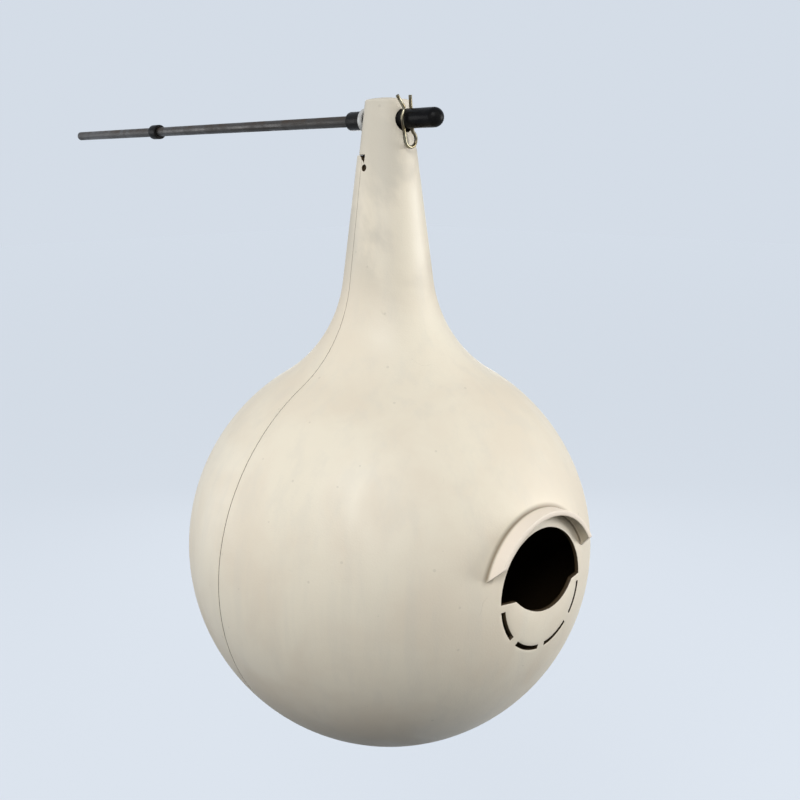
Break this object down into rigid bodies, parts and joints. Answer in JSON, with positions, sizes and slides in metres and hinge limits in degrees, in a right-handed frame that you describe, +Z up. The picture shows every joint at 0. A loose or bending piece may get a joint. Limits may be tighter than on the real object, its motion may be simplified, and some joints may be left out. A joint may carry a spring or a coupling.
{
  "type": "gourd birdhouse",
  "caption": "Plastic gourd-shaped nest box in two snap-together halves, with a round entrance and rain visor, hanging from a rack arm with a sleeve and a hitch pin.",
  "frame": {"origin": "centre of the arm's end face, where it enters the rack's hub at the pole", "axes": "+Y along the arm toward the pole, +Z up, entrance facing -Y"},
  "size_m": [0.3048, 0.6022, 0.4811],
  "materials": {
    "shell": "cream moulded plastic, lightly weathered",
    "rod": "dull drawn rod",
    "sleeve": "black, soft sheen",
    "washer": "white nylon",
    "pin": "zinc-plated wire"
  },
  "bodies": {
    "arm": {"arm_rod": "rod", "arm_sleeve": "sleeve", "rear_washer": "washer", "stop_collar": "sleeve", "hitch_pin": "pin"},
    "gourd": {"front_shell": "shell", "rear_shell": "shell"}
  },
  "joints": [
    {"name": "gourd_swing", "type": "hinge", "parent": "arm", "child": "gourd", "pos_m": [0, -0.45, 0], "axis": [0, 1, 0], "range_deg": [-60, 60]}
  ]
}
